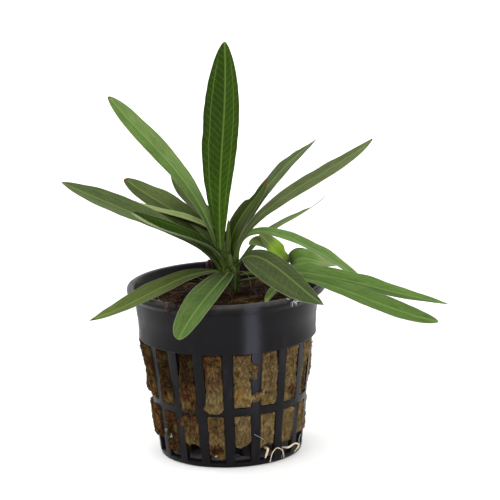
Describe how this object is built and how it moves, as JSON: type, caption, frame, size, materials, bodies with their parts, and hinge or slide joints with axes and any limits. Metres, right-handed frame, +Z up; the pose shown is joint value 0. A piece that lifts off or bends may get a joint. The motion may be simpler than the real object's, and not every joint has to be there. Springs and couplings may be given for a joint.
{
  "type": "potted sword plant",
  "caption": "Young sword plant with lance-shaped leaves, growing from a mineral wool plug in a small slotted net pot.",
  "frame": {"origin": "centre of the net pot's flat base, on the surface it stands on", "axes": "+Z up along the pot's axis, -Y towards the side that the picture shows, +X to its right"},
  "size_m": [0.1061, 0.0698, 0.1147],
  "materials": {
    "black_plastic": "satin",
    "wool": "matte",
    "crown": "satin",
    "leaf": "satin",
    "young_leaf": "satin",
    "root_brown": "matte",
    "root_white": "matte"
  },
  "bodies": {
    "root": {"net_pot": "black_plastic", "wool_plug": "wool", "crown": "crown", "shoot_stem": "crown", "leaf_upright": "leaf", "leaf_upper_left": "leaf", "leaf_behind_left": "leaf", "leaf_short_left": "leaf", "leaf_long_left": "leaf", "leaf_edge_left": "leaf", "leaf_trough_left": "leaf", "leaf_back_right": "leaf", "leaf_brown_tip": "leaf", "leaf_long_right": "leaf", "leaf_thin_right": "leaf", "leaf_arching_right": "leaf", "leaf_lower_right": "leaf", "leaf_lowest_right": "leaf", "leaf_broad_front": "leaf", "leaf_over_rim": "leaf", "leaf_front_left": "leaf", "leaf_short_front": "leaf", "leaf_bud": "leaf", "shoot_leaf_bright": "young_leaf", "shoot_leaf_curled": "young_leaf", "shoot_leaf_light": "young_leaf", "shoot_leaf_front": "young_leaf", "root_over_rim": "root_brown", "root_loop": "root_brown", "root_arc": "root_white", "root_white_stub": "root_white", "root_white_loop": "root_white", "root_white_thick": "root_white"}
  },
  "joints": []
}
